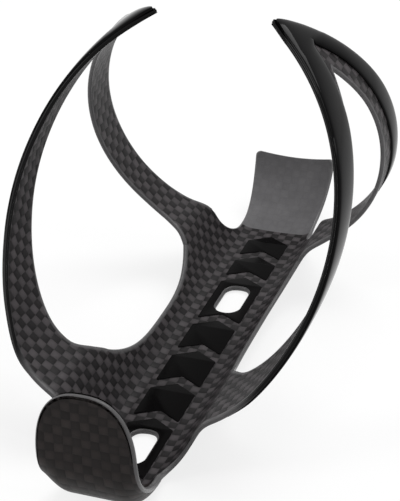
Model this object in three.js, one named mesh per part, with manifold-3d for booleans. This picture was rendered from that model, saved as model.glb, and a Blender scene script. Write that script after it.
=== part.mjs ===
// Water bottle cage for a bicycle: a thin moulded carbon shell that holds a 74 mm bottle.
// Millimetres. +Y runs along the spine towards the top tongue, +Z from the mounting face
// towards the bottle, and the origin is the centre of the mounting face, midway between
// the two bolt slots. The arms wrap round the bottle's axis, which is parallel to Y.
import * as THREE from 'three';
import { mergeGeometries, mergeVertices } from 'three/addons/utils/BufferGeometryUtils.js';
import Module from 'manifold-3d';

const wasm = await Module();
wasm.setup();

// ---- Driving dimensions ----
const boltSpacing = 64;          // standard spacing of the frame's two bottle bosses
const slotWidth = 6.2;
const slotLength = 12.6;
const bottleRadius = 37;         // inside of the arms, a slight grip on a 74 mm bottle
const bottleStandoff = 8.3;      // channel floor to the bottle
const spineWall = 1.5;
const footWall = 1.5;
const tongueWall = 1.3;
const wallEdge = 1;              // the channel's walls thin out to this
const armWall = 1.1;             // inner skin of the arms
const bondGap = 0.3;             // glue line between the arm's skin and its outer shell
const shellEdge = 0.35;          // outer shell at its edges
const shellCrown = [0.7, 1.1];   // outer shell along its middle, low on the arm and near the tip

// Cross-section of the spine: flat floor, soft fillet, straight wall
const wallFoot = 10.1;           // where the wall's line meets the floor's line
const wallFootAtToe = 7.8;       // the same at the narrow toe
const wallTilt = THREE.MathUtils.degToRad(62);
const filletBlend = 6;
const filletBlendAtToe = 3;
const rootBelowBottle = 3;       // wall left between the arm's root and the bottle's radius
const waistHalfWidth = 12.1;     // narrowest place, beside the arm windows
const toeHalfWidth = 9.5;

// Stations along the spine, from the slots
const slotEnd = (boltSpacing + slotLength) / 2;            // outer end of either slot
const toeCorner = [1.8 - slotEnd, -2.2 - slotEnd];
const frontRoot = [toeCorner[0], 21.2 - boltSpacing / 2];  // wall that the front branch grows from
const rearRoot = [slotEnd + 1.4, slotEnd + 21.7];          // wall that the rear branch grows from
const neckY = slotEnd + 29.7;
const neckHalfWidth = 9.8;
const neckBlend = [3, 6];        // from the channel's section to the tongue's, either side of neckY

// Foot: a round heel, then a D-shaped stop that leans 4 degrees towards the bottle
const heelStart = -slotEnd - 5.7;
const heelRadius = 12.8;
const heelTurn = THREE.MathUtils.degToRad(94);
const heelFlattening = 1.9;      // the walls die out over this share of the heel's radius
const footHalfWidth = 11.4;
const footTopLength = 17;        // from the widest place to the top of the stop
const footRoundness = 2.5;
const footOutlineEnd = THREE.MathUtils.degToRad(84);

// Tongue: curls up from the floor into the bottle's groove
const tongueRadius = 21.3;
const tongueTurn = THREE.MathUtils.degToRad(70.5);
const tongueTopHalfWidth = 11.2;
const tongueHollow = 1.1;        // the top edge dips this much in its middle
const tongueThinning = 4;        // from the neck, over which the wall thins to the tongue's
const tongueCorner = 1.6;

// Arms. An edge is a list of [way, share]. The way round the arm is 0 at the root and 1 at the
// tip, and the share is 0 at the edge's root end and 1 at its other end along the spine.
const tipTurn = 157.5;           // degrees from the spine to the arm's tip
const tipY = [26.1, 28.9];       // ends of the front and rear edges
const apexY = 26.7;              // end of the window's two edges
const apexWay = 0.8;
const roundingWay = 0.93;        // the rounding of the tip starts here
const frontEdge = [[0.16, 0.056], [0.275, 0.184], [0.42, 0.373], [0.645, 0.645], [0.96, 0.958], [1, 1]];
const windowFront = [[0.037, -0.1], [0.096, -0.18], [0.2, -0.1], [0.42, 0.285], [apexWay, 1]];
const windowRear = [[0.037, -0.13], [0.096, -0.24], [0.2, -0.2], [0.42, 0.12], [0.645, 0.5],
  [apexWay, 1]];
const rearEdge = [[0.05, 0.1], [0.11, 0.15], [0.2, 0.2], [0.42, 0.32], [0.645, 0.48], [0.8, 0.68],
  [1, 1]];
const rootBlend = 1.6;           // softness of the turn from the wall to the bottle's radius
const armBulge = 0.5;            // the front branch stands out from the bottle low down
const bulgeWay = 0.7;            // the bulge ends here
const tipGrip = 0.9;             // the tips close in on the bottle
const gripWay = 0.5;             // from here
const thinRootWay = 0.08;        // the skin grows from the wall's edge to its own thickness

// Outer shells: the gloss fork over each arm. Its window sides are lists of [way, share],
// where the share runs across the branch from its outer edge to the window.
const shellInset = 0.5;
const shellTipInset = 0.008;     // short of the skin's tip, in way round the arm
const shellTaper = 0.13;         // way over which a branch's crown grows from nothing
const shellStart = [0.1, 0.3];   // front and rear branch
const crownRise = [0.7, 0.93];   // the crown grows from its low height to its tip height
const glossFront = [[shellStart[0], 0.85], [0.2, 0.9], [0.45, 0.95], [0.65, 0.95], [0.73, 0.86]];
const glossRear = [[shellStart[1], 0.37], [0.42, 0.42], [0.61, 0.56], [0.77, 0.5]];
const forkWay = 0.885;
const forkShare = 0.57;          // the fork's apex, from the arm's front edge to its rear edge

// Gloss marks on the channel floor
const markHeight = 0.15;
const markMargin = 0.6;          // from a mark's side to the fillet at the toe
const markRise = 3.2;            // a mark's point stands this far ahead of its sides
const markGap = 3.2;
const frameReach = 4.4;          // a slot's frame, beyond the slot's end
const slotMargin = 0.5;          // a slot's frame, clear of the slot
const lastMarkToNeck = 6.4;

// Grid fineness
const flatColumns = 2;           // each side of the middle, on the flat floor
const flatShare = 0.65;          // the flat floor's columns take at most this much of the width
const wallColumns = 5;           // each side, from the floor to the edge
const acrossBranch = 4;
const stepsRound = 34;
const tipSteps = 6;
const tipRounding = THREE.MathUtils.degToRad(80);

const rad = THREE.MathUtils.degToRad;
const { lerp } = THREE.MathUtils;
const bottleDrop = bottleStandoff + bottleRadius;          // channel floor to the bottle's axis
const axisHeight = spineWall + bottleDrop;
const wallSlope = Math.tan(wallTilt);
const floorHalfWidth = wallFoot - filletBlend / wallSlope;
const toeFloorHalfWidth = wallFootAtToe - filletBlendAtToe / wallSlope;
const markHalfWidth = Math.min(floorHalfWidth, toeFloorHalfWidth) - markMargin;
const rootHalfWidth = wallFoot + (wallToBottle() - rootBelowBottle) * Math.cos(wallTilt);

// Length of the wall's line from the floor to the bottle's radius
function wallToBottle() {
  const nearest = bottleDrop * Math.sin(wallTilt) - wallFoot * Math.cos(wallTilt);
  const miss = wallFoot * Math.sin(wallTilt) + bottleDrop * Math.cos(wallTilt);
  return nearest - Math.sqrt(bottleRadius ** 2 - miss ** 2);
}

function smoothMax(a, b, blend) {
  const h = Math.max(blend - Math.abs(a - b), 0) / blend;
  return Math.max(a, b) + h * h * blend / 4;
}

function smoothStep(from, to, value) {
  const t = THREE.MathUtils.clamp((value - from) / (to - from), 0, 1);
  return t * t * (3 - 2 * t);
}

// A smooth curve y(x) through a few points, with tangents from each point's neighbours
function curveThrough(points) {
  const slope = (i) => {
    const before = points[Math.max(i - 1, 0)];
    const after = points[Math.min(i + 1, points.length - 1)];
    return (after[1] - before[1]) / (after[0] - before[0]);
  };
  return (x) => {
    let i = 0;
    while (i < points.length - 2 && x > points[i + 1][0]) {
      i += 1;
    }
    const [x0, y0] = points[i];
    const [x1, y1] = points[i + 1];
    const span = x1 - x0;
    const t = (x - x0) / span;
    const t2 = t * t;
    const t3 = t2 * t;
    const ends = (2 * t3 - 3 * t2 + 1) * y0 + (3 * t2 - 2 * t3) * y1;
    return ends + span * ((t3 - 2 * t2 + t) * slope(i) + (t3 - t2) * slope(i + 1));
  };
}

// ---- Closed shells from open grids ----
// A grid is a PlaneGeometry whose x and y hold two surface coordinates. Grids that share
// an edge are welded. place(a, b, depth) gives the point that lies depth behind the
// surface at (a, b), and front and back give the depths of the two faces.
function grid(columns, rows, coordinates) {
  const geometry = new THREE.PlaneGeometry(1, 1, columns, rows);
  const position = geometry.attributes.position;
  for (let i = 0; i < position.count; i += 1) {
    const [a, b] = coordinates(position.getX(i) + 0.5, position.getY(i) + 0.5);
    position.setXYZ(i, a, b, 0);
  }
  geometry.deleteAttribute('normal');
  geometry.deleteAttribute('uv');
  return geometry;
}

function closedShell(grids, place, front, back) {
  const sheet = mergeVertices(mergeGeometries(grids), 1e-3);
  const flat = sheet.attributes.position;
  const faces = Array.from(sheet.index.array);
  const count = flat.count;
  const points = [];
  for (const depth of [front, back]) {
    for (let i = 0; i < count; i += 1) {
      const a = flat.getX(i);
      const b = flat.getY(i);
      points.push(...place(a, b, depth(a, b)).toArray());
    }
  }
  const used = new Set();
  const triangles = [];
  for (let i = 0; i < faces.length; i += 3) {
    const [p, q, r] = faces.slice(i, i + 3);
    triangles.push(p, q, r, p + count, r + count, q + count);
    used.add(`${p},${q}`).add(`${q},${r}`).add(`${r},${p}`);
  }
  for (const key of used) {
    const [p, q] = key.split(',').map(Number);
    if (!used.has(`${q},${p}`)) {
      triangles.push(p, p + count, q, q, p + count, q + count);
    }
  }
  const geometry = new THREE.BufferGeometry();
  geometry.setAttribute('position', new THREE.Float32BufferAttribute(points, 3));
  geometry.setIndex(triangles);
  return outward(geometry);
}

function volume(geometry) {
  const position = geometry.attributes.position;
  const index = geometry.index.array;
  const corner = [0, 1, 2].map(() => new THREE.Vector3());
  let total = 0;
  for (let i = 0; i < index.length; i += 3) {
    corner.forEach((v, k) => v.fromBufferAttribute(position, index[i + k]));
    total += corner[0].dot(corner[1].clone().cross(corner[2])) / 6;
  }
  return total;
}

function outward(geometry) {
  if (volume(geometry) < 0) {
    const index = geometry.index.array;
    for (let i = 0; i < index.length; i += 3) {
      [index[i + 1], index[i + 2]] = [index[i + 2], index[i + 1]];
    }
  }
  geometry.computeVertexNormals();
  return geometry;
}

function mirrored(geometry) {
  const copy = geometry.clone();
  copy.scale(-1, 1, 1);
  return outward(copy);
}

function toManifold(geometry) {
  const bare = geometry.clone();
  bare.deleteAttribute('normal');
  bare.deleteAttribute('uv');
  const welded = mergeVertices(bare, 1e-5);
  return new wasm.Manifold(new wasm.Mesh({
    numProp: 3,
    vertProperties: new Float32Array(welded.attributes.position.array),
    triVerts: new Uint32Array(welded.index.array),
  }));
}

function subtract(geometry, cutters) {
  let solid = toManifold(geometry);
  for (const cutter of cutters) {
    solid = solid.subtract(toManifold(cutter));
  }
  const mesh = solid.getMesh();
  const result = new THREE.BufferGeometry();
  result.setAttribute('position', new THREE.Float32BufferAttribute(mesh.vertProperties, 3));
  result.setIndex(Array.from(mesh.triVerts));
  result.computeVertexNormals();
  return result;
}

// ---- Spine, foot and tongue: a section swept along a profile ----
// s is the distance along the middle of the inner face; it equals Y on the flat floor.
function profile(s) {
  const floor = spineWall;
  if (s < heelStart) {
    const turn = Math.min((heelStart - s) / heelRadius, heelTurn);
    const beyond = heelStart - s - turn * heelRadius;
    return {
      y: heelStart - heelRadius * Math.sin(turn) - beyond * Math.cos(turn),
      z: floor + heelRadius * (1 - Math.cos(turn)) + beyond * Math.sin(turn),
      normal: new THREE.Vector3(0, Math.sin(turn), Math.cos(turn)),
    };
  }
  if (s > neckY) {
    const turn = (s - neckY) / tongueRadius;
    return {
      y: neckY + tongueRadius * Math.sin(turn),
      z: floor + tongueRadius * (1 - Math.cos(turn)),
      normal: new THREE.Vector3(0, -Math.sin(turn), Math.cos(turn)),
    };
  }
  return { y: s, z: floor, normal: new THREE.Vector3(0, 0, 1) };
}

// The wall's foot and fillet at a station: both tighten towards the toe
function wallAt(s) {
  const toe = smoothStep(frontRoot[0], heelStart, s);
  return {
    foot: lerp(wallFoot, wallFootAtToe, toe),
    blend: lerp(filletBlend, filletBlendAtToe, toe),
  };
}

// Height of the section above the floor, x from the middle
function sectionLift(x, s) {
  const { foot, blend } = wallAt(s);
  const wall = smoothMax(0, (Math.abs(x) - foot) * wallSlope, blend);
  const bottle = x * x / (2 * bottleRadius);
  const heel = smoothStep(heelStart, heelStart - heelRadius * heelFlattening, s);
  const neck = smoothStep(neckY - neckBlend[0], neckY + neckBlend[1], s);
  return (wall * (1 - neck) + bottle * neck) * (1 - heel);
}

// The floor's full thickness, thinning up the walls but not at the ends
function spineThickness(x, s) {
  const { foot } = wallAt(s);
  const thin = smoothStep(foot - 3, foot + 2.5, Math.abs(x));
  const ends = smoothStep(heelStart - 1, heelStart + 6, s) * smoothStep(neckY + 1, neckY - 6, s);
  return lerp(spineWall, wallEdge, thin * ends);
}

function tongueThickness(x, s) {
  return lerp(spineWall, tongueWall, smoothStep(neckY, neckY + tongueThinning, s));
}

// The tongue's corners stand ahead of the middle of its top edge
function tongueDip(x, s) {
  const grown = ((s - neckY) / (tongueRadius * tongueTurn)) ** 3;
  return tongueHollow * grown * (1 - (x / tongueTopHalfWidth) ** 2);
}

function spinePoint(x, s, depth) {
  const { y, z, normal } = profile(s);
  const lift = sectionLift(x, s);
  const step = 0.01;
  const slope = (sectionLift(x + step, s) - sectionLift(x - step, s)) / (2 * step);
  const length = Math.hypot(slope, 1);
  const inner = new THREE.Vector3(x, y, z).addScaledVector(normal, lift);
  const behind = normal.clone().multiplyScalar(-1 / length).setX(slope / length);
  return inner.addScaledVector(behind, depth);
}

// A strip of the sweep between stations, each [s, half width]. One column of points runs
// along each side of the flat floor. dip sets points back along the profile.
function sweepGrid(stations, dip) {
  const rows = stations.length - 1;
  const columns = flatColumns + wallColumns;
  return grid(2 * columns, rows, (u, v) => {
    const [s, halfWidth] = stations[Math.round(v * rows)];
    const { foot, blend } = wallAt(s);
    const flat = Math.min(foot - blend / wallSlope, flatShare * halfWidth);
    const column = Math.round(Math.abs(2 * u - 1) * columns);
    const beyond = Math.max(column - flatColumns, 0) / wallColumns;
    const x = Math.min(column / flatColumns, 1) * flat + beyond * (halfWidth - flat);
    return [Math.sign(2 * u - 1) * x, s - dip(x, s)];
  });
}

function evenSteps(from, to, count) {
  return Array.from({ length: count + 1 }, (_, i) => from + (to - from) * i / count);
}

function spineStations() {
  const stations = [];
  for (const s of evenSteps(heelStart, toeCorner[1], 3).slice(0, -1)) {
    stations.push([s, toeHalfWidth]);
  }
  const [cornerTop, cornerBottom] = toeCorner;
  for (const turn of evenSteps(0, Math.PI / 2, 6)) {
    const x = toeHalfWidth + (rootHalfWidth - toeHalfWidth) * (1 - Math.cos(turn));
    stations.push([cornerBottom + (cornerTop - cornerBottom) * Math.sin(turn), x]);
  }
  for (const s of evenSteps(frontRoot[0], frontRoot[1], 5).slice(1)) {
    stations.push([s, rootHalfWidth]);
  }
  const middle = (frontRoot[1] + rearRoot[0]) / 2;
  const reach = (rearRoot[0] - frontRoot[1]) / 2;
  for (const t of evenSteps(-1, 1, 18).slice(1)) {
    const widening = (rootHalfWidth - waistHalfWidth) * Math.abs(t) ** 3;
    stations.push([middle + reach * t, waistHalfWidth + widening]);
  }
  for (const s of evenSteps(rearRoot[0], rearRoot[1], 4).slice(1)) {
    stations.push([s, rootHalfWidth]);
  }
  for (const turn of evenSteps(Math.PI / 2, 0, 8).slice(1)) {
    stations.push([neckY - (neckY - rearRoot[1]) * Math.sin(turn),
      neckHalfWidth + (rootHalfWidth - neckHalfWidth) * (1 - Math.cos(turn))]);
  }
  return stations;
}

function footStations() {
  const widest = heelStart - heelRadius * heelTurn;
  const stations = evenSteps(heelStart, widest, 14).map((s) => {
    const widening = (footHalfWidth - toeHalfWidth) * smoothStep(heelStart, widest, s);
    return [s, toeHalfWidth + widening];
  });
  const power = 2 / footRoundness;
  for (const turn of evenSteps(0, footOutlineEnd, 11).slice(1)) {
    stations.push([widest - footTopLength * Math.sin(turn) ** power,
      footHalfWidth * Math.cos(turn) ** power]);
  }
  return stations.reverse();
}

function tongueStations() {
  const end = neckY + tongueRadius * tongueTurn;
  const stations = evenSteps(neckY, end - tongueCorner, 9).map((s) => {
    const widening = (tongueTopHalfWidth - neckHalfWidth) * smoothStep(neckY, end, s);
    return [s, neckHalfWidth + widening];
  });
  const top = stations[stations.length - 1][1];
  for (const turn of evenSteps(0, tipRounding, 4).slice(1)) {
    stations.push([end - tongueCorner * (1 - Math.sin(turn)),
      top - tongueCorner * (1 - Math.cos(turn))]);
  }
  return stations;
}

function slotOutline(width, length) {
  const shape = new THREE.Shape();
  const radius = width / 2;
  const straight = length / 2 - radius;
  shape.absarc(0, straight, radius, 0, Math.PI);
  shape.absarc(0, -straight, radius, Math.PI, 2 * Math.PI);
  shape.closePath();
  return shape;
}

function slotCutter(y) {
  const height = 4 * spineWall;
  const options = { depth: height, bevelEnabled: false, curveSegments: 10 };
  const cutter = new THREE.ExtrudeGeometry(slotOutline(slotWidth, slotLength), options);
  return cutter.translate(0, y, -height / 3);
}

// ---- Arms ----
// The root is on the wall, measured from the bottle's axis
const root = new THREE.Vector2(rootHalfWidth,
  bottleDrop - (rootHalfWidth - wallFoot) * wallSlope);
const rootTurn = THREE.MathUtils.radToDeg(Math.atan2(root.x, root.y));
const turnBlend = Math.min(rootBlend, root.length() - bottleRadius);

// Distance of the inner face from the bottle's axis: the wall's line, then about the bottle
function armRadius(angle, way, y) {
  const lowDown = Math.sin(Math.PI * Math.min(way / bulgeWay, 1)) ** 2;
  const bulge = armBulge * smoothStep(rearRoot[0], 0, y) * lowDown;
  const hoop = bottleRadius + bulge - tipGrip * smoothStep(gripWay, 1, way);
  const drop = bottleDrop + wallFoot * wallSlope;
  const wall = drop / (Math.cos(angle) + wallSlope * Math.sin(angle));
  return angle < Math.PI / 2 ? smoothMax(wall, hoop, turnBlend) : hoop;
}

function armPoint(way, y, depth) {
  const at = (share) => {
    const angle = rad(lerp(rootTurn, tipTurn, share));
    const radius = armRadius(angle, share, y);
    return new THREE.Vector2(Math.sin(angle), -Math.cos(angle)).multiplyScalar(radius);
  };
  const step = 1e-4;
  const along = at(way + step).sub(at(way - step)).normalize();
  const point = at(way).add(new THREE.Vector2(along.y, -along.x).multiplyScalar(depth));
  return new THREE.Vector3(point.x, y, axisHeight + point.y);
}

function armEdge(points, rootY, endY) {
  return curveThrough([[0, rootY], ...points.map(([way, share]) => [way, lerp(rootY, endY, share)])]);
}

const armFront = armEdge(frontEdge, frontRoot[0], tipY[0]);
const armWindowFront = armEdge(windowFront, frontRoot[1], apexY);
const armWindowRear = armEdge(windowRear, rearRoot[0], apexY);
const armRear = armEdge(rearEdge, rearRoot[1], tipY[1]);

// A strip between two edge curves
function stripGrid(from, to, low, high) {
  return grid(Math.ceil((to - from) * stepsRound), acrossBranch, (u, v) => {
    const way = lerp(from, to, u);
    return [way, lerp(low(way), high(way), v)];
  });
}

// The edges close on each other round the tip
function tipGrid(low, high, end) {
  return grid(tipSteps, 2 * acrossBranch, (u, v) => {
    const turn = u * tipRounding;
    const way = lerp(roundingWay, end, Math.sin(turn) / Math.sin(tipRounding));
    const middle = (low(way) + high(way)) / 2;
    const half = (high(way) - low(way)) / 2 * Math.cos(turn);
    return [way, middle + (2 * v - 1) * half];
  });
}

// Two branches that meet at an apex. Beyond it the arm is two strips that share a line, which
// runs from the apex to the middle of the arm where the tip's rounding starts.
function forkedArm({ front, windowLow, windowHigh, rear, starts, apex, end }) {
  const [apexAt, apexHeight] = apex;
  const split = (way) => {
    const middle = (front(way) + rear(way)) / 2;
    return lerp(apexHeight, middle, smoothStep(apexAt, roundingWay, way));
  };
  const closeLow = (way) => (way >= apexAt ? split(way) : windowLow(way));
  const closeHigh = (way) => (way >= apexAt ? split(way) : windowHigh(way));
  return [
    stripGrid(starts[0], apexAt, front, closeLow),
    stripGrid(starts[1], apexAt, closeHigh, rear),
    stripGrid(apexAt, roundingWay, front, split),
    stripGrid(apexAt, roundingWay, split, rear),
    tipGrid(front, rear, end),
  ];
}

function armSkin() {
  const grids = forkedArm({
    front: armFront,
    windowLow: armWindowFront,
    windowHigh: armWindowRear,
    rear: armRear,
    starts: [0, 0],
    apex: [apexWay, apexY],
    end: 1,
  });
  const thickness = (way) => lerp(wallEdge, armWall, smoothStep(0, thinRootWay, way));
  return closedShell(grids, armPoint, () => 0, thickness);
}

function outerShell() {
  const front = (way) => armFront(way) + shellInset;
  const rear = (way) => armRear(way) - shellInset;
  const forkY = lerp(armFront(forkWay), armRear(forkWay), forkShare);
  const acrossFront = ([way, share]) => [way, lerp(front(way), armWindowFront(way), share)];
  const acrossRear = ([way, share]) => [way, lerp(rear(way), armWindowRear(way), share)];
  const windowLow = curveThrough([...glossFront.map(acrossFront), [forkWay, forkY]]);
  const windowHigh = curveThrough([...glossRear.map(acrossRear), [forkWay, forkY]]);
  const grids = forkedArm({
    front,
    windowLow,
    windowHigh,
    rear,
    starts: shellStart,
    apex: [forkWay, forkY],
    end: 1 - shellTipInset,
  });
  const back = armWall + bondGap;
  const crown = (way, y) => {
    const joined = way >= forkWay;
    const onFront = !joined && y < (windowLow(way) + windowHigh(way)) / 2;
    const from = onFront || joined ? front(way) : windowHigh(way);
    const to = onFront ? windowLow(way) : rear(way);
    const start = shellStart[onFront || joined ? 0 : 1];
    const t = THREE.MathUtils.clamp((y - from) / (to - from), 0, 1);
    const grown = smoothStep(start, start + shellTaper, way) * smoothStep(1, roundingWay, way);
    const height = lerp(...shellCrown, smoothStep(...crownRise, way));
    return back + shellEdge + (height - shellEdge) * grown * Math.sqrt(4 * t * (1 - t));
  };
  return closedShell(grids, armPoint, () => back, crown);
}

// ---- Gloss marks on the channel floor: plain chevrons and frames round the slots ----
// from and to are the ends of the mark's sides
function chevron(from, to) {
  const shape = new THREE.Shape();
  shape.moveTo(-markHalfWidth, from);
  shape.lineTo(0, from + markRise);
  shape.lineTo(markHalfWidth, from);
  shape.lineTo(markHalfWidth, to);
  shape.lineTo(0, to + markRise);
  shape.lineTo(-markHalfWidth, to);
  shape.closePath();
  return shape;
}

function slotFrame(y) {
  const reach = slotLength / 2 + frameReach;
  const shape = chevron(y - reach, y + reach - markRise);
  const hole = slotOutline(slotWidth + 2 * slotMargin, slotLength + 2 * slotMargin).getPoints(8);
  shape.holes.push(new THREE.Path(hole.map((p) => new THREE.Vector2(p.x, p.y + y))));
  return shape;
}

function chevronRow(from, to, count) {
  const pitch = (to - from + markGap) / count;
  return Array.from({ length: count }, (_, i) => {
    const start = from + i * pitch;
    return chevron(start, start + pitch - markGap);
  });
}

function mark(shape) {
  const options = { depth: markHeight, bevelEnabled: false };
  return new THREE.ExtrudeGeometry(shape, options).translate(0, 0, spineWall);
}

// ---- Materials ----
function finish(colour, roughness) {
  return new THREE.MeshStandardMaterial({ color: colour, roughness, metalness: 0 });
}

const weave = finish(0x2c2b2d, 0.5);
const footWeave = finish(0x2f2926, 0.5);
const tongueWeave = finish(0x4b4a4c, 0.55);
const glossShell = finish(0x060607, 0.12);
const glossMark = finish(0x050505, 0.2);

// ---- Assembly ----
const cage = new THREE.Group();

function add(name, geometry, material) {
  const mesh = new THREE.Mesh(geometry, material);
  mesh.name = name;
  cage.add(mesh);
}

const slots = [-boltSpacing / 2, boltSpacing / 2];
const sheetOf = (stations, wall, dip = () => 0) => (
  closedShell([sweepGrid(stations, dip)], spinePoint, () => 0, wall));
const channel = sheetOf(spineStations(), spineThickness);

add('spine_channel', subtract(channel, slots.map(slotCutter)), weave);
add('foot_stop', sheetOf(footStations(), () => footWall), footWeave);
add('neck_tongue', sheetOf(tongueStations(), tongueThickness, tongueDip), tongueWeave);

const skin = armSkin();
const shell = outerShell();
add('right_arm_skin', skin, weave);
add('left_arm_skin', mirrored(skin), weave);
add('right_arm_outer_shell', shell, glossShell);
add('left_arm_outer_shell', mirrored(shell), glossShell);

const frameEnd = slotLength / 2 + frameReach + markGap;
const markShapes = [
  slotFrame(slots[0]),
  ...chevronRow(slots[0] + frameEnd - markRise, slots[1] - frameEnd, 3),
  slotFrame(slots[1]),
  ...chevronRow(slots[1] + frameEnd - markRise, neckY - lastMarkToNeck, 2),
];
markShapes.forEach((shape, i) => add(`spine_mark_${i + 1}`, mark(shape), glossMark));

export default cage;
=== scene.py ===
"""Looks of a moulded carbon water bottle cage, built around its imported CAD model."""

import math

import bpy
import numpy as np
from mathutils import Matrix, Vector
from mathutils.geometry import tessellate_polygon


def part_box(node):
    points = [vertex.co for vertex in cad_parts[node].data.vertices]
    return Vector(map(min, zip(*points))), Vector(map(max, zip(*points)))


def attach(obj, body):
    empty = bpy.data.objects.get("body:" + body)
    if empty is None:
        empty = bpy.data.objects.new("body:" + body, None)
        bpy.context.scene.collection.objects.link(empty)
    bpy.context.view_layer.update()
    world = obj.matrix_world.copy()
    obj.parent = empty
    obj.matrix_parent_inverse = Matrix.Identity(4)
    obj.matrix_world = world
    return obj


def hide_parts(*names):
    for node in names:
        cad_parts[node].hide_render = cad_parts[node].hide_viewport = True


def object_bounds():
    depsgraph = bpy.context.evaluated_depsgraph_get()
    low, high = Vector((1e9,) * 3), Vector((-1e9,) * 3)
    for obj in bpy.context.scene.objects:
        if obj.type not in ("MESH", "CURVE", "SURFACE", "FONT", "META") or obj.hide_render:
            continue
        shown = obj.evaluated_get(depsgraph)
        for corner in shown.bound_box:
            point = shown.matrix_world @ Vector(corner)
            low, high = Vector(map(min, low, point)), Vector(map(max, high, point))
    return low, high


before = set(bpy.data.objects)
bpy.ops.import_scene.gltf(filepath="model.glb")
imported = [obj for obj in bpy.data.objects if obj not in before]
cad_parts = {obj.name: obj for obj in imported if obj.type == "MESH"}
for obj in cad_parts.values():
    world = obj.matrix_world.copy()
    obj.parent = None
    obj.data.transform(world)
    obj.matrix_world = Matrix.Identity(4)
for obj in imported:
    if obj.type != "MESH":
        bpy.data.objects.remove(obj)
cad_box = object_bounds()

MM = 0.001
# ---- Sizes taken from the frame, in millimetres ----


def box_mm(node):
    low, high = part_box(node)
    return np.array(low) / MM, np.array(high) / MM


def middle_y(node):
    low, high = box_mm(node)
    return (low[1] + high[1]) / 2


ARM_WALL = 1.1
FLOOR = box_mm("spine_mark_1")[0][2]
SPINE_WALL = FLOOR
SLOTS = (middle_y("spine_mark_1"), middle_y("spine_mark_5"))
BOTTLE_RADIUS = 37.0
HEEL_START = box_mm("spine_channel")[0][1]
NECK_Y = box_mm("spine_channel")[1][1]

# ---- Shape of the laminate ----
SLOT_WIDTH = 6.2
SLOT_LENGTH = 12.6
SLOT_END = (SLOTS[1] - SLOTS[0] + SLOT_LENGTH) / 2
WALL_EDGE = 1.0                  # the channel's walls thin out to this
BOTTLE_DROP = 45.3               # channel floor to the bottle's axis
AXIS_HEIGHT = FLOOR + BOTTLE_DROP
WALL_FOOT = 10.1
WALL_FOOT_AT_TOE = 7.8
WALL_TILT = math.radians(62)
WALL_SLOPE = math.tan(WALL_TILT)
FILLET = 6.0
FILLET_AT_TOE = 3.0
ROOT_BELOW_BOTTLE = 3.0
WAIST_HALF_WIDTH = 12.1
TOE_HALF_WIDTH = 9.5
TOE_CORNER = (1.8 - SLOT_END, -2.2 - SLOT_END)
FRONT_ROOT = (TOE_CORNER[0], SLOTS[0] + 21.2)
REAR_ROOT = (SLOT_END + 1.4, SLOT_END + 21.7)
NECK_HALF_WIDTH = 9.8
NECK_BLEND = (3.0, 6.0)
HEEL_RADIUS = 12.8
HEEL_TURN = math.radians(94)
HEEL_FLATTENING = 1.9
FOOT_WALL = 1.5
FOOT_HALF_WIDTH = 11.4
FOOT_TOP_LENGTH = 17.0
FOOT_ROUNDNESS = 2.5
TONGUE_WALL = 1.3
TONGUE_RADIUS = 21.3
TONGUE_TURN = math.radians(70.5)
TONGUE_TOP_HALF_WIDTH = 11.2
TONGUE_HOLLOW = 1.1              # the top edge dips this much in its middle
TONGUE_THINNING = 4.0            # from the neck, over which the wall thins to the tongue's
TONGUE_CORNER = 1.6
ROOT_BLEND = 1.6
ARM_BULGE = 0.5                  # the front branch stands out from the bottle low down
BULGE_WAY = 0.7                  # the bulge ends here
TIP_GRIP = 0.9                   # the tips close in on the bottle
GRIP_WAY = 0.5                   # from here
THIN_ROOT_WAY = 0.08             # the skin grows from the wall's edge to its own thickness

# Arms: [way round the arm, share along the spine], both 0 at the root and 1 at the other end
TIP_TURN = 157.5
TIP_Y = (26.1, 28.9)
APEX_Y = 26.7
APEX_WAY = 0.8
ROUNDING_WAY = 0.93
FRONT_EDGE = ((0.16, 0.056), (0.275, 0.184), (0.42, 0.373), (0.645, 0.645), (0.96, 0.958), (1, 1))
WINDOW_FRONT = ((0.037, -0.1), (0.096, -0.18), (0.2, -0.1), (0.42, 0.285), (APEX_WAY, 1))
WINDOW_REAR = ((0.037, -0.13), (0.096, -0.24), (0.2, -0.2), (0.42, 0.12), (0.645, 0.5),
               (APEX_WAY, 1))
REAR_EDGE = ((0.05, 0.1), (0.11, 0.15), (0.2, 0.2), (0.42, 0.32), (0.645, 0.48), (0.8, 0.68), (1, 1))

# Gloss shells: [way, share across the branch from its outer edge to the window]
SHELL_EDGE = 0.35
SHELL_THIN_EDGE = 0.2            # share of the edge that is left at a branch's start and the tip
SHELL_CROWN = (0.7, 1.1)         # low on the arm, and near the tip
CROWN_RISE = (0.7, 0.93)         # ways between which the crown grows
SHELL_INSET = 0.55
SHELL_SEAT = ARM_WALL + 0.02
SHELL_TAPER = 0.13
SHELL_START = (0.1, 0.3)         # front and rear branch
SHELL_END = 0.992
GLOSS_FRONT = ((SHELL_START[0], 0.85), (0.2, 0.9), (0.45, 0.95), (0.65, 0.95), (0.73, 0.86))
GLOSS_REAR = ((SHELL_START[1], 0.37), (0.42, 0.42), (0.61, 0.56), (0.77, 0.5))
FORK_WAY = 0.885
FORK_SHARE = 0.57

# Gloss marks on the channel floor
MARK_HEIGHT = 0.15
MARK_MARGIN = 0.6                # from a mark's side to the fillet at the toe
MARK_RISE = 3.2                  # a mark's point stands this far ahead of its sides
MARK_GAP = 3.2
MARK_CORNER = 0.5
MARK_EDGE = 0.08                 # rounding of the top edges
MARK_SINK = 0.02                 # into the floor, so that no gap shows
FRAME_REACH = 4.4                # a slot's frame, beyond the slot's end
SLOT_MARGIN = 0.5
LAST_MARK_TO_NECK = 6.4

# Wall that thins out, from the floor's side to its edge, and away from the channel's ends
THINNING = (-3.0, 2.5)           # from the wall's foot
HEEL_THINNING = (-1, 6)          # from the heel's start
NECK_THINNING = (1, -6)          # from the neck

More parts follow.
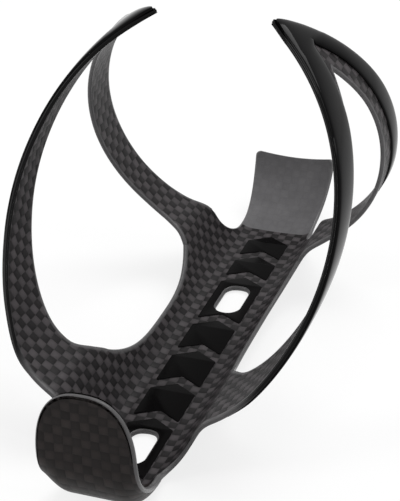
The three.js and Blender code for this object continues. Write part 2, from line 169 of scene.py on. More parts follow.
TOW = 2.1                        # width of a carbon tow in the plain weave
CELL = 1.0                       # size of the surface mesh's cells
RIM_STEPS = 6                    # facets round a laminate edge
RIM_PAINTED_HIGHLIGHT = (0.11, 0.108, 0.11)      # painted highlight: a lighter grey along a trimmed edge, standing for the edge catching light
LACQUER = (0.002, 0.0019, 0.0021)     # polished black


# ---- Curves ----
def smooth_max(a, b, blend):
    h = np.maximum(blend - np.abs(a - b), 0) / blend
    return np.maximum(a, b) + h * h * blend / 4


def smooth_step(start, end, value):
    t = np.clip((value - start) / (end - start), 0, 1)
    return t * t * (3 - 2 * t)


def lerp(a, b, t):
    return a + (b - a) * t


def curve_through(points):
    """A smooth curve y(x) through a few points."""
    xs, ys = np.array(points, float).T
    before = np.maximum(np.arange(len(xs)) - 1, 0)
    after = np.minimum(np.arange(len(xs)) + 1, len(xs) - 1)
    slopes = (ys[after] - ys[before]) / (xs[after] - xs[before])

    def curve(x):
        i = np.clip(np.searchsorted(xs, x, side="left") - 1, 0, len(xs) - 2)
        span = xs[i + 1] - xs[i]
        t = (x - xs[i]) / span
        ends = lerp(ys[i], ys[i + 1], 3 * t**2 - 2 * t**3)
        return ends + span * ((t**3 - 2 * t**2 + t) * slopes[i] + (t**3 - t**2) * slopes[i + 1])

    return curve


# ---- Spine, foot and tongue: a section swept along a profile ----
def profile(s):
    """Place and normal of the inner face's middle line, s along it."""
    turn = np.clip((HEEL_START - s) / HEEL_RADIUS, 0, HEEL_TURN)
    beyond = np.maximum(HEEL_START - s - HEEL_RADIUS * HEEL_TURN, 0)
    curl = np.maximum(s - NECK_Y, 0) / TONGUE_RADIUS
    y = np.clip(s, HEEL_START, NECK_Y) - HEEL_RADIUS * np.sin(turn) - beyond * np.cos(turn)
    y = y + TONGUE_RADIUS * np.sin(curl)
    z = FLOOR + HEEL_RADIUS * (1 - np.cos(turn)) + beyond * np.sin(turn)
    z = z + TONGUE_RADIUS * (1 - np.cos(curl))
    lean = turn - curl
    return y, z, np.sin(lean), np.cos(lean)


def wall_at(s):
    toe = smooth_step(FRONT_ROOT[0], HEEL_START, s)
    return lerp(WALL_FOOT, WALL_FOOT_AT_TOE, toe), lerp(FILLET, FILLET_AT_TOE, toe)


def section_lift(x, s):
    foot, blend = wall_at(s)
    wall = smooth_max(0, (np.abs(x) - foot) * WALL_SLOPE, blend)
    bottle = x * x / (2 * BOTTLE_RADIUS)
    heel = smooth_step(HEEL_START, HEEL_START - HEEL_RADIUS * HEEL_FLATTENING, s)
    neck = smooth_step(NECK_Y - NECK_BLEND[0], NECK_Y + NECK_BLEND[1], s)
    return lerp(wall, bottle, neck) * (1 - heel)


def spine_surface(x, s):
    y, z, normal_y, normal_z = profile(s)
    lift = section_lift(x, s)
    return np.stack([x, y + normal_y * lift, z + normal_z * lift], -1)


def wall_to_bottle():
    """Length of the wall's line from the floor to the bottle's radius."""
    nearest = BOTTLE_DROP * math.sin(WALL_TILT) - WALL_FOOT * math.cos(WALL_TILT)
    miss = WALL_FOOT * math.sin(WALL_TILT) + BOTTLE_DROP * math.cos(WALL_TILT)
    return nearest - math.sqrt(BOTTLE_RADIUS**2 - miss**2)


ROOT_HALF_WIDTH = WALL_FOOT + (wall_to_bottle() - ROOT_BELOW_BOTTLE) * math.cos(WALL_TILT)
ROOT_DROP = BOTTLE_DROP - (ROOT_HALF_WIDTH - WALL_FOOT) * WALL_SLOPE
ROOT_TURN = math.degrees(math.atan2(ROOT_HALF_WIDTH, ROOT_DROP))
TURN_BLEND = min(ROOT_BLEND, math.hypot(ROOT_HALF_WIDTH, ROOT_DROP) - BOTTLE_RADIUS)


# ---- Arms: wrapped round the bottle's axis ----
def arm_surface(way, y):
    angle = np.radians(lerp(ROOT_TURN, TIP_TURN, way))
    slant = np.minimum(angle, math.pi / 2)
    drop = BOTTLE_DROP + WALL_FOOT * WALL_SLOPE
    wall = drop / (np.cos(slant) + WALL_SLOPE * np.sin(slant))
    bulge = ARM_BULGE * smooth_step(REAR_ROOT[0], 0, y)
    low_down = np.sin(math.pi * np.clip(way / BULGE_WAY, 0, 1)) ** 2
    hoop = BOTTLE_RADIUS + bulge * low_down - TIP_GRIP * smooth_step(GRIP_WAY, 1, way)
    radius = np.where(angle < math.pi / 2, smooth_max(wall, hoop, TURN_BLEND), hoop)
    return np.stack([radius * np.sin(angle), y, AXIS_HEIGHT - radius * np.cos(angle)], -1)


def arm_edge(points, root_y, end_y):
    return curve_through([(0, root_y)] + [(way, lerp(root_y, end_y, t)) for way, t in points])


arm_front = arm_edge(FRONT_EDGE, FRONT_ROOT[0], TIP_Y[0])
arm_window_front = arm_edge(WINDOW_FRONT, FRONT_ROOT[1], APEX_Y)
arm_window_rear = arm_edge(WINDOW_REAR, REAR_ROOT[0], APEX_Y)
arm_rear = arm_edge(REAR_EDGE, REAR_ROOT[1], TIP_Y[1])


# ---- Patches of surface coordinates ----
def steps(start, end, cell):
    count = max(int(math.ceil(abs(end - start) / cell)), 1)
    return np.linspace(start, end, count + 1)


def strip(ways, low, high, across):
    """A patch between two edge curves, rows along the way."""
    share = across[None, :]
    way = ways[:, None]
    return np.stack(np.broadcast_arrays(way, lerp(low(way), high(way), share)), -1)


def tip_patch(front, rear, across, end):
    """The edges close on each other round the tip."""
    turn = np.linspace(0, math.radians(86), 14)[:, None]
    way = lerp(ROUNDING_WAY, end, np.sin(turn) / np.sin(turn[-1]))
    middle = (front(way) + rear(way)) / 2
    half = (rear(way) - front(way)) / 2 * np.cos(turn)
    return np.stack(np.broadcast_arrays(way, middle + (2 * across[None, :] - 1) * half), -1)


def forked_arm(front, window_low, window_high, rear, starts, apex, end, across):
    """Two branches that meet at an apex and run on to the rounded tip."""
    apex_at, apex_y = apex
    round_cell = CELL / BOTTLE_RADIUS / math.radians(TIP_TURN - ROOT_TURN)

    def split(way):
        middle = (front(way) + rear(way)) / 2
        return lerp(apex_y, middle, smooth_step(apex_at, ROUNDING_WAY, way))

    def close_low(way):
        return np.where(way >= apex_at, split(way), window_low(way))

    def close_high(way):
        return np.where(way >= apex_at, split(way), window_high(way))

    beyond = steps(apex_at, ROUNDING_WAY, round_cell)
    both = np.concatenate([across / 2, 0.5 + across[1:] / 2])
    return [
        strip(steps(starts[0], apex_at, round_cell), front, close_low, across),
        strip(steps(starts[1], apex_at, round_cell), close_high, rear, across),
        strip(beyond, front, split, across),
        strip(beyond, split, rear, across),
        tip_patch(front, rear, both, end),
    ]


# ---- Closed sheets from patches ----
def weld(patches):
    """Joins patches where their coordinates meet. Returns points and quads."""
    keys = {}
    points = []
    quads = []
    for patch in patches:
        rows, columns = patch.shape[:2]
        index = np.empty((rows, columns), int)
        for i in range(rows):
            for j in range(columns):
                key = tuple(np.round(patch[i, j], 4))
                if key not in keys:
                    keys[key] = len(points)
                    points.append(patch[i, j])
                index[i, j] = keys[key]
        for i in range(rows - 1):
            for j in range(columns - 1):
                quads.append((index[i, j], index[i, j + 1], index[i + 1, j + 1], index[i + 1, j]))
    return np.array(points), quads


def unit(vectors):
    return vectors / np.maximum(np.linalg.norm(vectors, axis=-1, keepdims=True), 1e-12)


def surface_frame(place, points, inward):
    """Places and unit normals of the face that looks at the bottle."""
    a, b = points.T
    step = 1e-3
    along_a = place(a + step, b) - place(a - step, b)
    along_b = place(a, b + step) - place(a, b - step)
    normal = unit(np.cross(along_a, along_b))
    return place(a, b), normal * inward


def boundary_edges(quads):
    used = {}
    for quad in quads:
        corners = [p for i, p in enumerate(quad) if p != quad[i - 1]]
        for p, q in zip(corners, corners[1:] + corners[:1]):
            used[(p, q)] = True
    return [(p, q) for p, q in used if (q, p) not in used]


def closed_sheet(patches, place, inward, wall, is_seam, weave_map):
    """A sheet with its free edges rounded and its seams square.

    Returns vertices, faces, their normals, the weave coordinates and the rim amount."""
    points, quads = weld(patches)
    front, normal = surface_frame(place, points, inward)
    flat = np.cross(front[quads[0][1]] - front[quads[0][0]], front[quads[0][3]] - front[quads[0][0]])
    if np.dot(flat, normal[quads[0][0]]) < 0:
        quads = [quad[::-1] for quad in quads]
    half = np.broadcast_to(wall(points) / 2, len(points))[:, None]
    edges = boundary_edges(quads)
    seam = is_seam(points)
    free = [(p, q) for p, q in edges if not (seam[p] and seam[q])]
    out = np.zeros_like(front)
    for p, q in free:
        outward = np.cross(front[q] - front[p], normal[p] + normal[q])
        out[p] += outward
        out[q] += outward
    rim = sorted({p for edge in free for p in edge})
    out[rim] = unit(out[rim] - normal[rim] * np.sum(out[rim] * normal[rim], 1, keepdims=True))
    middle = front - normal * half - out * half

    count = len(points)
    vertices = [middle + normal * half, middle - normal * half]
    shading = [normal, -normal]
    uv = weave_map(points)
    uvs = [uv, uv]
    rims = np.zeros(count)
    rims[rim] = 1
    rim_amounts = [rims, rims]
    ring_of = {p: k for k, p in enumerate(rim)}
    rings = []
    for k in range(1, RIM_STEPS):
        angle = math.pi / 2 - math.pi * k / RIM_STEPS
        direction = normal[rim] * math.sin(angle) + out[rim] * math.cos(angle)
        rings.append(2 * count + (k - 1) * len(rim))
        vertices.append(middle[rim] + direction * half[rim])
        shading.append(direction)
        uvs.append(uv[rim])
        rim_amounts.append(np.ones(len(rim)))

    def column(p):
        inner = [ring + ring_of[p] for ring in rings] if p in ring_of else []
        return [p] + inner + [p + count]

    faces = [tuple(q) for q in quads] + [tuple(p + count for p in quad[::-1]) for quad in quads]
    free_edges = set(free)
    seam_faces = []
    for p, q in edges:
        if (p, q) in free_edges:
            left, right = column(p), column(q)
            for k in range(RIM_STEPS):
                faces.append((left[k], left[k + 1], right[k + 1], right[k]))
        else:
            seam_faces.append((p, p + count, q + count, q))
    for p in rim:
        if seam[p]:
            seam_faces.append(tuple(column(p)) if any(e[1] == p for e in free) else
                              tuple(column(p)[::-1]))
    return {
        "vertices": np.concatenate(vertices) * MM,
        "faces": faces,
        "seam_faces": seam_faces,
        "normals": np.concatenate(shading),
        "weave": np.concatenate(uvs),
        "rim": np.concatenate(rim_amounts),
        "lacquer": np.zeros(sum(len(part) for part in vertices)),
        "places": np.concatenate([points, points] + [points[rim]] * (RIM_STEPS - 1)),
    }


def sheet_object(name, sheet, material):
    mesh = bpy.data.meshes.new(name)
    faces = [tuple(dict.fromkeys(face)) for face in sheet["faces"] + sheet["seam_faces"]]
    surface_count = len(sheet["faces"])
    kept = [(face, i < surface_count) for i, face in enumerate(faces) if len(face) > 2]
    mesh.from_pydata(sheet["vertices"].tolist(), [], [face for face, _ in kept])
    corner = np.array([p for face, _ in kept for p in face])
    layer = mesh.uv_layers.new(name="weave")
    layer.data.foreach_set("uv", sheet["weave"][corner].astype(np.float32).ravel())
    amount = mesh.attributes.new("rim", "FLOAT", "POINT")
    amount.data.foreach_set("value", sheet["rim"].astype(np.float32))
    lacquer = mesh.attributes.new("lacquer", "FLOAT", "POINT")
    lacquer.data.foreach_set("value", sheet["lacquer"].astype(np.float32))
    mesh.polygons.foreach_set("use_smooth", [True] * len(kept))
    loop_normals = sheet["normals"][corner]
    start = 0
    for polygon, (face, smooth) in zip(mesh.polygons, kept):
        if not smooth:
            loop_normals[start:start + len(face)] = np.array(polygon.normal)
        start += len(face)
    mesh.normals_split_custom_set(loop_normals.tolist())
    piece = bpy.data.objects.new(name, mesh)
    bpy.context.collection.objects.link(piece)
    mesh.materials.append(material)
    return piece


# ---- Where each patch lies ----
def section_arc(x, s):
    """Arc length across the section from its middle, for the weave."""
    share = np.linspace(0, 1, 60)[:, None]
    across = np.abs(x)[None, :] * share
    lift = section_lift(across, np.broadcast_to(s, across.shape[1:])[None, :])
    length = np.sum(np.hypot(np.diff(across, axis=0), np.diff(lift, axis=0)), axis=0)
    return np.sign(x) * length


def spine_weave(points):
    x, s = points.T
    return np.stack([section_arc(x, s), s], -1)


ROOT_ARC = section_arc(np.array([ROOT_HALF_WIDTH]), np.array([0.0]))[0]


def arm_weave(points):
    way, y = points.T
    turn = np.radians(TIP_TURN - ROOT_TURN) * way
    return np.stack([ROOT_ARC + turn * BOTTLE_RADIUS, y], -1)


def spread(half_width, s):
    """Columns across the sweep: one line along each side of the flat floor."""
    foot, blend = wall_at(s)
    flat = np.minimum(foot - blend / WALL_SLOPE, 0.65 * half_width)
    inner = np.linspace(0, 1, 9)
    outer = np.linspace(0, 1, 11)[1:]
    right = np.concatenate([inner * flat, flat + outer * (half_width - flat)])
    return np.concatenate([-right[:0:-1], right])


def sweep_patch(stations):
    rows = [np.stack([spread(w, s), np.full(37, s)], -1) for s, w in stations]
    return np.array(rows)


def tongue_patch():
    """The tongue's top edge is hollow, so its corners stand ahead of its middle."""
    patch = sweep_patch(tongue_stations())
    x, s = patch[..., 0], patch[..., 1]
    grown = np.clip((s - NECK_Y) / (TONGUE_RADIUS * TONGUE_TURN), 0, 1) ** 3
    hollow = 1 - (x / TONGUE_TOP_HALF_WIDTH) ** 2
    return np.stack([x, s - TONGUE_HOLLOW * grown * hollow], -1)


def spine_stations():
    stations = [(s, TOE_HALF_WIDTH) for s in steps(HEEL_START, TOE_CORNER[1], 0.7)[:-1]]
    top, bottom = TOE_CORNER
    for turn in np.linspace(0, math.pi / 2, 12):
        x = TOE_HALF_WIDTH + (ROOT_HALF_WIDTH - TOE_HALF_WIDTH) * (1 - math.cos(turn))
        stations.append((bottom + (top - bottom) * math.sin(turn), x))
    for s in steps(FRONT_ROOT[0], FRONT_ROOT[1], CELL)[1:]:
        stations.append((s, ROOT_HALF_WIDTH))
    middle = (FRONT_ROOT[1] + REAR_ROOT[0]) / 2
    reach = (REAR_ROOT[0] - FRONT_ROOT[1]) / 2
    for t in np.linspace(-1, 1, 55)[1:]:
        widening = (ROOT_HALF_WIDTH - WAIST_HALF_WIDTH) * abs(t) ** 3
        stations.append((middle + reach * t, WAIST_HALF_WIDTH + widening))
    for s in steps(REAR_ROOT[0], REAR_ROOT[1], CELL)[1:]:
        stations.append((s, ROOT_HALF_WIDTH))
    for turn in np.linspace(math.pi / 2, 0, 22)[1:]:
        x = NECK_HALF_WIDTH + (ROOT_HALF_WIDTH - NECK_HALF_WIDTH) * (1 - math.cos(turn))
        stations.append((NECK_Y - (NECK_Y - REAR_ROOT[1]) * math.sin(turn), x))
    return stations


def foot_stations():
    widest = HEEL_START - HEEL_RADIUS * HEEL_TURN
    stations = []
    for s in steps(HEEL_START, widest, 0.8):
        widening = (FOOT_HALF_WIDTH - TOE_HALF_WIDTH) * smooth_step(HEEL_START, widest, s)
        stations.append((s, TOE_HALF_WIDTH + widening))
    power = 2 / FOOT_ROUNDNESS
    for turn in np.linspace(0, math.radians(88), 34)[1:]:
        stations.append((widest - FOOT_TOP_LENGTH * math.sin(turn) ** power,
                         FOOT_HALF_WIDTH * math.cos(turn) ** power))
    return stations[::-1]


def tongue_stations():
    end = NECK_Y + TONGUE_RADIUS * TONGUE_TURN
    stations = []
    for s in steps(NECK_Y, end - TONGUE_CORNER, 0.9):
        widening = (TONGUE_TOP_HALF_WIDTH - NECK_HALF_WIDTH) * smooth_step(NECK_Y, end, s)
        stations.append((s, NECK_HALF_WIDTH + widening))
    top = stations[-1][1]
    for turn in np.linspace(0, math.radians(80), 8)[1:]:
        stations.append((end - TONGUE_CORNER * (1 - math.sin(turn)),
                         top - TONGUE_CORNER * (1 - math.cos(turn))))
    return stations


def slot_patches(patch, y):
    """Cuts a window of cells round a slot and fills it with rings that end on the slot."""
    reach = SLOT_LENGTH / 2 + 1.4
    rows = np.where(np.abs(patch[:, 0, 1] - y) < reach)[0]
    r0, r1 = rows[0] - 1, rows[-1] + 1
    c0, c1 = 10, 26
    around = np.concatenate([
        patch[r0, c0:c1], patch[r0:r1, c1], patch[r1, c1:c0:-1], patch[r1:r0:-1, c0],
        patch[r0, c0:c0 + 1]])
    straight = (SLOT_LENGTH - SLOT_WIDTH) / 2
    core = np.stack([np.zeros(len(around)), y + np.clip(around[:, 1] - y, -straight, straight)], -1)
    slot = core + unit(around - core) * SLOT_WIDTH / 2
    rings = np.array([lerp(around, slot, t) for t in (0, 0.3, 0.6, 0.85, 1)])
    return (r0, r1, c0, c1), rings


def spine_patches():
    whole = sweep_patch(spine_stations())
    pieces = []
    row = 0
    for y in SLOTS:
        (r0, r1, c0, c1), rings = slot_patches(whole, y)
        pieces.append(whole[row:r0 + 1])
        pieces.append(whole[r0:r1 + 1, :c0 + 1])
        pieces.append(whole[r0:r1 + 1, c1:])
        pieces.append(rings)
        row = r1
    pieces.append(whole[row:])
    return pieces


def spine_seam(points):
    x, s = points.T
    ends = (np.abs(s - HEEL_START) < 1e-3) | (np.abs(s - NECK_Y) < 1e-3)
    root = np.abs(np.abs(x) - ROOT_HALF_WIDTH) < 1e-3
    front = (s > FRONT_ROOT[0] - 1e-3) & (s < FRONT_ROOT[1] + 1e-3)
    rear = (s > REAR_ROOT[0] - 1e-3) & (s < REAR_ROOT[1] + 1e-3)
    return ends | (root & (front | rear))


def mirrored(sheet):
    flip = np.array([-1, 1, 1])
    return dict(sheet, vertices=sheet["vertices"] * flip, normals=sheet["normals"] * flip,
                faces=[face[::-1] for face in sheet["faces"]],
                seam_faces=[face[::-1] for face in sheet["seam_faces"]],
                weave=sheet["weave"] * np.array([-1, 1]))


# ---- Materials ----
class Nodes:
    """Short calls for building a node tree."""

    def __init__(self, name):
        self.material = bpy.data.materials.new(name)
        self.material.use_nodes = True
        self.tree = self.material.node_tree
        self.tree.nodes.clear()
        self.shader = self.add("ShaderNodeBsdfPrincipled")
        output = self.add("ShaderNodeOutputMaterial")
        self.link(self.shader.outputs[0], output.inputs["Surface"])

    def add(self, kind, **settings):
        node = self.tree.nodes.new(kind)
        for key, value in settings.items():
            setattr(node, key, value)
        return node

    def link(self, source, target):
        if isinstance(source, (int, float)):
            target.default_value = source
        else:
            self.tree.links.new(source, target)

    def math(self, operation, a, b=0.0, c=0.0):
        node = self.add("ShaderNodeMath", operation=operation)
        for value, socket in zip((a, b, c), node.inputs):
            self.link(value, socket)
        return node.outputs[0]

    def mix(self, factor, a, b):
        """Mixes two numbers."""
        node = self.add("ShaderNodeMix")
        for value, socket in zip((factor, a, b), (node.inputs[0], node.inputs[2], node.inputs[3])):
            self.link(value, socket)
        return node.outputs[0]

    def mix_colour(self, factor, a, b):
        node = self.add("ShaderNodeMix", data_type="RGBA")
        self.link(factor, node.inputs[0])
        for value, socket in ((a, node.inputs[6]), (b, node.inputs[7])):
            if isinstance(value, tuple):
                socket.default_value = (*value, 1)
            else:
                self.tree.links.new(value, socket)
        return node.outputs[2]

    def noise(self, vector, scale, detail=3.0):
        node = self.add("ShaderNodeTexNoise")
        node.inputs["Scale"].default_value = scale
        node.inputs["Detail"].default_value = detail
        self.link(vector, node.inputs["Vector"])
        return node.outputs[0]

    def bump(self, height, distance, strength=1.0, normal=None):
        node = self.add("ShaderNodeBump")
        node.inputs["Strength"].default_value = strength
        node.inputs["Distance"].default_value = distance
        self.link(height, node.inputs["Height"])
        if normal is not None:
            self.link(normal, node.inputs["Normal"])
        return node.outputs[0]

    def set(self, **values):
        for key, value in values.items():
            self.shader.inputs[key.replace("_", " ")].default_value = value


def weave_material(name, warp, weft, roughness, relief, specular, depth=0.5):
    """Plain woven carbon under a thin matte lacquer. Warp runs along the spine.

    Relief is the tows' height in millimetres, and depth how far the gaps between them darken."""
    m = Nodes(name)
    coordinates = m.add("ShaderNodeUVMap", uv_map="weave").outputs[0]
    wander = m.add("ShaderNodeTexNoise", noise_dimensions="2D")
    wander.inputs["Scale"].default_value = 0.11
    m.link(coordinates, wander.inputs["Vector"])
    shift = m.add("ShaderNodeVectorMath", operation="MULTIPLY_ADD")
    m.link(wander.outputs["Color"], shift.inputs[0])
    shift.inputs[1].default_value = (0.9, 0.9, 0)
    m.link(coordinates, shift.inputs[2])
    split = m.add("ShaderNodeSeparateXYZ")
    m.link(shift.outputs[0], split.inputs[0])
    across = m.math("DIVIDE", split.outputs[0], TOW)
    along = m.math("DIVIDE", split.outputs[1], TOW)
    parity = m.math("ADD", m.math("FLOOR", across), m.math("FLOOR", along))
    warp_up = m.math("FLOORED_MODULO", parity, 2.0)
    swell_a = m.math("SINE", m.math("MULTIPLY", m.math("FRACT", across), math.pi))
    swell_b = m.math("SINE", m.math("MULTIPLY", m.math("FRACT", along), math.pi))
    round_a = m.math("POWER", swell_a, 0.45)
    round_b = m.math("POWER", swell_b, 0.45)
    warp_height = m.math("MULTIPLY", round_a, m.math("MULTIPLY_ADD", swell_b, 0.6, 0.4))
    weft_height = m.math("MULTIPLY", round_b, m.math("MULTIPLY_ADD", swell_a, 0.6, 0.4))
    height = m.mix(warp_up, weft_height, warp_height)

    fibre = m.add("ShaderNodeMapping")
    fibre.inputs["Scale"].default_value = (9.0, 0.7, 1.0)
    m.link(coordinates, fibre.inputs["Vector"])
    cross_fibre = m.add("ShaderNodeMapping")
    cross_fibre.inputs["Scale"].default_value = (0.7, 9.0, 1.0)
    m.link(coordinates, cross_fibre.inputs["Vector"])
    threads = m.mix(warp_up, m.noise(cross_fibre.outputs[0], 1.0, 2.0),
                    m.noise(fibre.outputs[0], 1.0, 2.0))
    cloud = m.noise(coordinates, 0.16)
    patch = m.add("ShaderNodeTexWhiteNoise", noise_dimensions="2D")
    cell = m.add("ShaderNodeCombineXYZ")
    m.link(m.math("FLOOR", across), cell.inputs[0])
    m.link(m.math("FLOOR", along), cell.inputs[1])
    m.link(cell.outputs[0], patch.inputs["Vector"])

    base = m.mix_colour(warp_up, weft, warp)
    gain = m.math("MULTIPLY_ADD", patch.outputs[0], 0.6 * depth, 1 - 0.6 * depth)
    gain = m.math("MULTIPLY", gain, m.math("MULTIPLY_ADD", threads, 0.5, 0.75))
    gain = m.math("MULTIPLY", gain, m.math("MULTIPLY_ADD", cloud, 0.5, 0.75))
    gain = m.math("MULTIPLY", gain, m.math("MULTIPLY_ADD", height, depth, 1.05 - 0.9 * depth))
    rim = m.add("ShaderNodeAttribute", attribute_name="rim").outputs["Fac"]
    scale = m.add("ShaderNodeVectorMath", operation="SCALE")
    m.link(base, scale.inputs[0])
    m.link(gain, scale.inputs["Scale"])
    lacquer = m.add("ShaderNodeAttribute", attribute_name="lacquer").outputs["Fac"]
    # painted highlight: the trimmed edges are mixed towards a lighter grey, as if they caught the
    # light
    colour = m.mix_colour(m.math("MULTIPLY", rim, 0.8), scale.outputs[0], RIM_PAINTED_HIGHLIGHT)
    m.link(m.mix_colour(lacquer, colour, LACQUER), m.shader.inputs["Base Color"])
    rough = m.math("MULTIPLY_ADD", threads, 0.16, roughness - 0.08)
    m.link(m.mix(lacquer, m.mix(rim, rough, 0.26), 0.1), m.shader.inputs["Roughness"])
    bare = m.math("SUBTRACT", 1.0, m.math("MAXIMUM", rim, lacquer))
    fine = m.bump(m.math("MULTIPLY", threads, bare), 0.00002)
    keep = m.math("MULTIPLY", height, bare)
    m.link(m.bump(keep, relief * MM, normal=fine), m.shader.inputs["Normal"])
    m.set(Specular_IOR_Level=specular)
    return m.material


def gloss_material(name, colour, roughness, specular):
    """Polished black lacquer over carbon, with faint ripple and dust."""
    m = Nodes(name)
    coordinates = m.add("ShaderNodeTexCoord").outputs["Object"]
    ripple = m.noise(coordinates, 90.0, 2.0)
    dust = m.noise(coordinates, 1400.0, 1.0)
    speck = m.math("SMOOTH_MAX", m.math("SUBTRACT", dust, 0.72), 0.0, 0.05)
    tint = m.mix_colour(m.math("MULTIPLY", ripple, 0.5), colour, tuple(1.6 * c for c in colour))
    m.link(tint, m.shader.inputs["Base Color"])
    m.link(m.math("MULTIPLY_ADD", ripple, 0.06, roughness - 0.03), m.shader.inputs["Roughness"])
    m.link(m.bump(ripple, 0.00012, 0.5, m.bump(speck, 0.00004)), m.shader.inputs["Normal"])
    m.set(Specular_IOR_Level=specular)
    return m.material


# ---- Pieces ----
def spine_wall(points):
    """The floor's full thickness, thinning up the walls."""
    x, s = points.T
    foot, _ = wall_at(s)
    thin = smooth_step(foot + THINNING[0], foot + THINNING[1], np.abs(x))
    ends = smooth_step(HEEL_START + HEEL_THINNING[0], HEEL_START + HEEL_THINNING[1], s)
    ends = ends * smooth_step(NECK_Y + NECK_THINNING[0], NECK_Y + NECK_THINNING[1], s)
    return lerp(SPINE_WALL, WALL_EDGE, thin * ends)


def arm_lacquer(arm):
    """The shells' lacquer runs over the arm's outer edges and its tip."""
    way, y = arm["places"].T
    outer = np.minimum(np.abs(y - arm_front(way)), np.abs(y - arm_rear(way))) < 0.01
    edges = arm["rim"] * outer * smooth_step(SHELL_START[0], 2 * SHELL_START[0], way)
    return np.maximum(edges, smooth_step(FORK_WAY, ROUNDING_WAY, way))


def build_laminate(weave, foot_weave, tongue_weave):
    spine = closed_sheet(spine_patches(), spine_surface, 1, spine_wall,
                         spine_seam, spine_weave)
    foot = closed_sheet([sweep_patch(foot_stations())], spine_surface, 1, lambda p: FOOT_WALL,
                        lambda p: np.abs(p[:, 1] - HEEL_START) < 1e-3, spine_weave)
    tongue = closed_sheet([tongue_patch()], spine_surface, 1,
                          lambda p: lerp(SPINE_WALL, TONGUE_WALL,
                                         smooth_step(NECK_Y, NECK_Y + TONGUE_THINNING, p[:, 1])),
                          lambda p: np.abs(p[:, 1] - NECK_Y) < 1e-3, spine_weave)
    across = np.linspace(0, 1, 13)
    arm = closed_sheet(
        forked_arm(arm_front, arm_window_front, arm_window_rear, arm_rear, (0, 0),
                   (APEX_WAY, APEX_Y), 1, across),
        arm_surface, 1,
        lambda p: lerp(WALL_EDGE, ARM_WALL, smooth_step(0, THIN_ROOT_WAY, p[:, 0])),
        lambda p: np.abs(p[:, 0]) < 1e-4, arm_weave)
    arm["lacquer"] = arm_lacquer(arm)
    made = {
        "spine_channel": sheet_object("channel_laminate", spine, weave),
        "foot_stop": sheet_object("foot_laminate", foot, foot_weave),
        "neck_tongue": sheet_object("tongue_laminate", tongue, tongue_weave),
        "right_arm_skin": sheet_object("right_arm_laminate", arm, weave),
        "left_arm_skin": sheet_object("left_arm_laminate", mirrored(arm), weave),
    }
    for node, piece in made.items():
        settle(piece, node)


def settle(piece, node):
    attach(piece, "root")
    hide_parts(node)


def shell_sheet():
    def front(way):
        return arm_front(way) + SHELL_INSET

    def rear(way):
        return arm_rear(way) - SHELL_INSET

    fork_y = lerp(arm_front(FORK_WAY), arm_rear(FORK_WAY), FORK_SHARE)
    low = curve_through([(way, lerp(front(way), arm_window_front(way), t))
                         for way, t in GLOSS_FRONT] + [(FORK_WAY, fork_y)])
    high = curve_through([(way, lerp(rear(way), arm_window_rear(way), t))
                          for way, t in GLOSS_REAR] + [(FORK_WAY, fork_y)])
    across = (1 - np.cos(np.linspace(0, math.pi, 17))) / 2
    patches = forked_arm(front, low, high, rear, SHELL_START, (FORK_WAY, fork_y), SHELL_END,
                         across)
    points, quads = weld(patches)
    place, normal = surface_frame(arm_surface, points, 1)
    way, y = points.T
    joined = way >= FORK_WAY
    on_front = ~joined & (y < (low(way) + high(way)) / 2)
    start_y = np.where(on_front | joined, front(way), high(way))
    end_y = np.where(on_front, low(way), rear(way))
    start = np.where(on_front | joined, *SHELL_START)
    t = np.clip((y - start_y) / np.maximum(end_y - start_y, 1e-6), 0, 1)
    tip = np.clip((way - ROUNDING_WAY) / (1 - ROUNDING_WAY), 0, 1)
    grown = smooth_step(start, start + SHELL_TAPER, way) * np.sqrt(1 - tip**2)
    crown_height = lerp(*SHELL_CROWN, smooth_step(*CROWN_RISE, way))
    edge = SHELL_EDGE * lerp(SHELL_THIN_EDGE, 1, smooth_step(start, start + SHELL_TAPER / 2, way))
    edge = edge * lerp(1, SHELL_THIN_EDGE, tip)
    height = edge + (crown_height - edge) * grown * np.sqrt(4 * t * (1 - t))
    back = place - normal * SHELL_SEAT
    crown = back - normal * height[:, None]
    count = len(points)
    flat = np.cross(place[quads[0][1]] - place[quads[0][0]], place[quads[0][3]] - place[quads[0][0]])
    if np.dot(flat, normal[quads[0][0]]) < 0:
        quads = [quad[::-1] for quad in quads]
    faces = [tuple(q) for q in quads] + [tuple(p + count for p in quad[::-1]) for quad in quads]
    faces += [(p, p + count, q + count, q) for p, q in boundary_edges(quads)]
    return np.concatenate([back, crown]) * MM, faces


def build_shells(gloss):
    vertices, faces = shell_sheet()
    for side, flip in (("right", 1), ("left", -1)):
        mesh = bpy.data.meshes.new(f"{side}_arm_gloss_shell")
        shape = [face[::flip] for face in (tuple(dict.fromkeys(f)) for f in faces) if len(face) > 2]
        mesh.from_pydata((vertices * np.array([flip, 1, 1])).tolist(), [], shape)
        mesh.polygons.foreach_set("use_smooth", [True] * len(mesh.polygons))
        mesh.set_sharp_from_angle(angle=math.radians(50))
        mesh.materials.append(gloss)
        piece = bpy.data.objects.new(mesh.name, mesh)
        bpy.context.collection.objects.link(piece)
        settle(piece, f"{side}_arm_outer_shell")


def rounded(points, radius):
    """The outline with its corners rounded."""
    outline = []
    for i, corner in enumerate(points):
        corner = np.array(corner, float)
        before = unit(np.array(points[i - 1], float) - corner)
        after = unit(np.array(points[(i + 1) % len(points)], float) - corner)
        half = math.acos(np.clip(np.dot(before, after), -1, 1)) / 2
        reach = radius / math.tan(half)
        start, end = corner + before * reach, corner + after * reach
        for t in np.linspace(0, 1, 6):
            outline.append(lerp(lerp(start, corner, t), lerp(corner, end, t), t))
    return outline


def stadium(width, length, y):
    straight = (length - width) / 2
    turns = np.linspace(0, math.pi, 17)
    top = [(width / 2 * math.cos(a), y + straight + width / 2 * math.sin(a)) for a in turns]
    bottom = [(-x, 2 * y - v) for x, v in top]
    return (top + bottom)[::-1]


